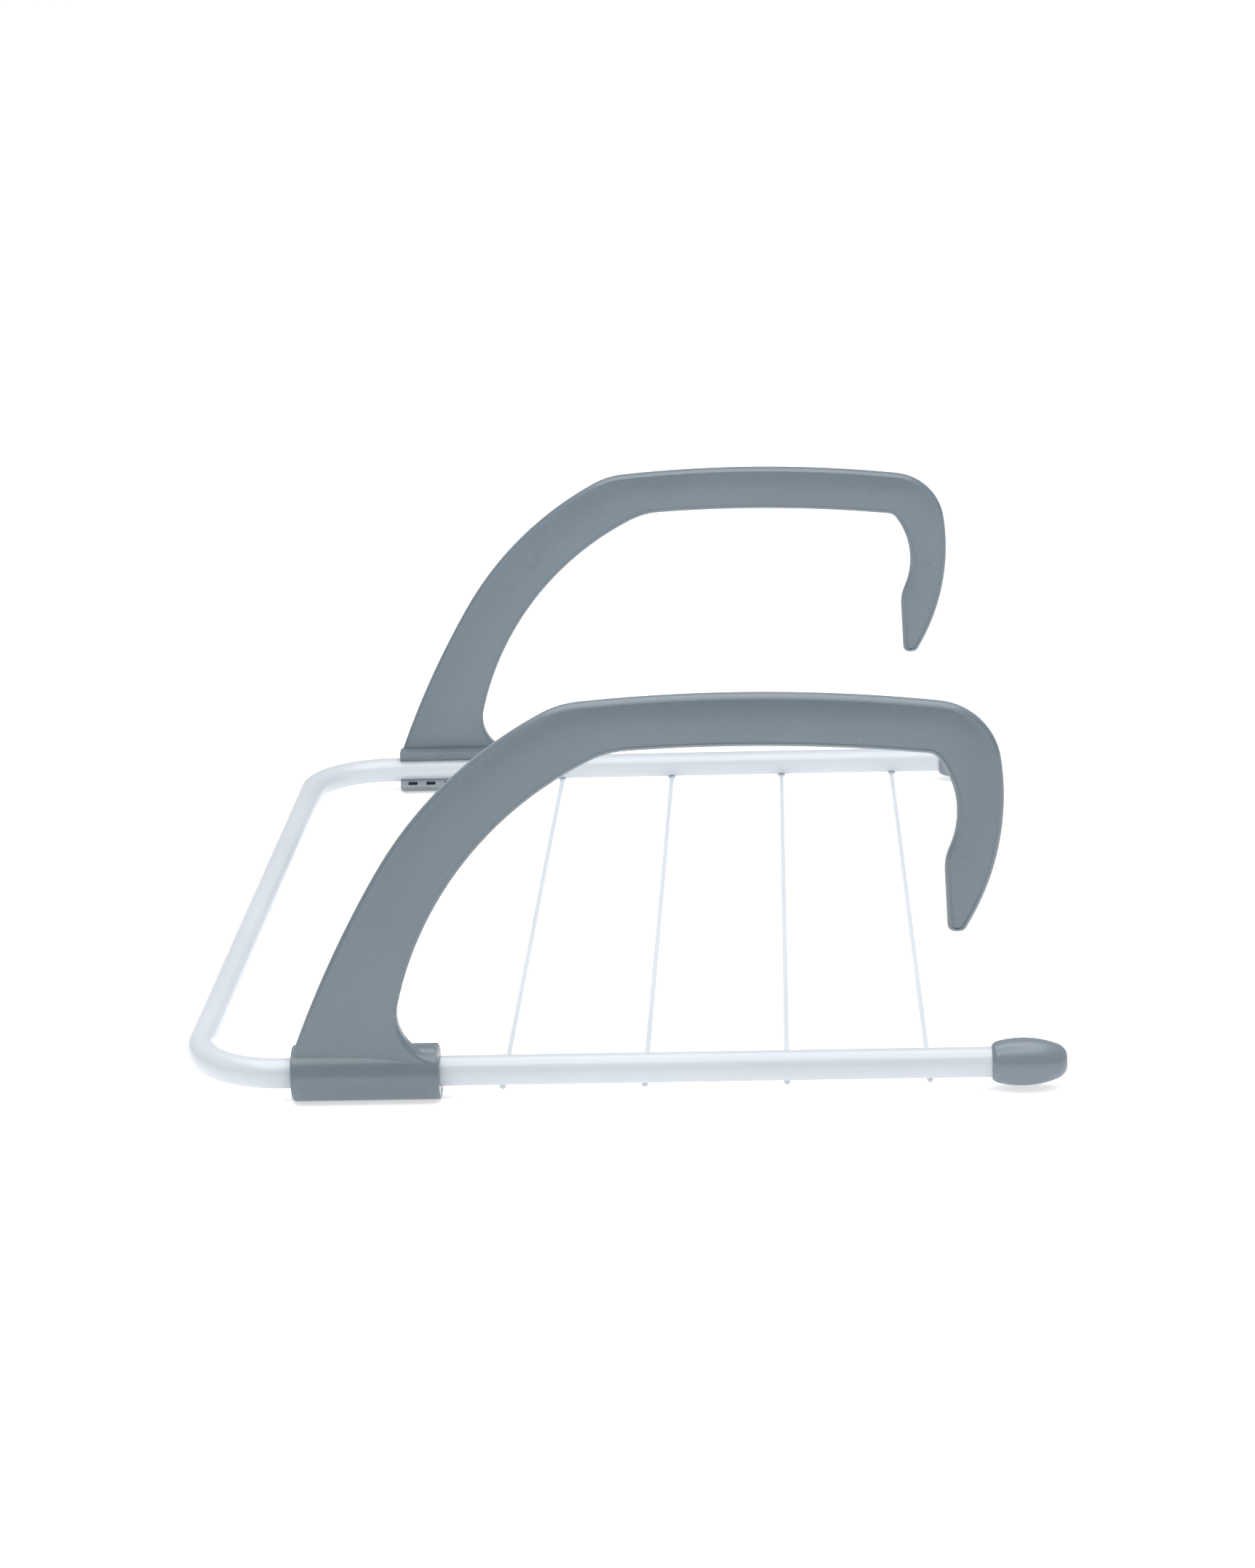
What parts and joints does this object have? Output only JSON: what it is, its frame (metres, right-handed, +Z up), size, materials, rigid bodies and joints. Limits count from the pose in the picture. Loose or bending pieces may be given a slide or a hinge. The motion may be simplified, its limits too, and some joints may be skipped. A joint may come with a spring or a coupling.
{
  "type": "hook-over folding drying rack",
  "caption": "Small drying rack that hooks over a rail, radiator or door: a bent tube frame with thin cross wires and folding plastic hook arms.",
  "frame": {"origin": "under the middle of the rack, level with the lowest point of the two clips", "axes": "+X from the front bar towards the wall, +Y to the right seen from the front bar's outside, +Z up"},
  "size_m": [0.379, 0.504, 0.1762],
  "materials": {
    "frame_paint": "gloss white powder coat",
    "wire_paint": "gloss white powder coat",
    "hook_plastic": "fine satin moulded blue-grey",
    "cap_plastic": "fine satin moulded blue-grey"
  },
  "bodies": {
    "frame": {"tube_frame": "frame_paint", "wire_1": "wire_paint", "wire_2": "wire_paint", "wire_3": "wire_paint", "wire_4": "wire_paint", "end_cap_left": "cap_plastic", "end_cap_right": "cap_plastic"},
    "left_arm": {"hook_arm_left": "hook_plastic"},
    "right_arm": {"hook_arm_right": "hook_plastic"}
  },
  "joints": [
    {"name": "left_arm_fold", "type": "hinge", "parent": "frame", "child": "left_arm", "pos_m": [-0.1065, -0.24, 0.012], "axis": [-1, 0, 0], "range_deg": [-90, 90]},
    {"name": "right_arm_fold", "type": "hinge", "parent": "frame", "child": "right_arm", "pos_m": [-0.1065, 0.24, 0.012], "axis": [1, 0, 0], "range_deg": [-90, 90]}
  ]
}
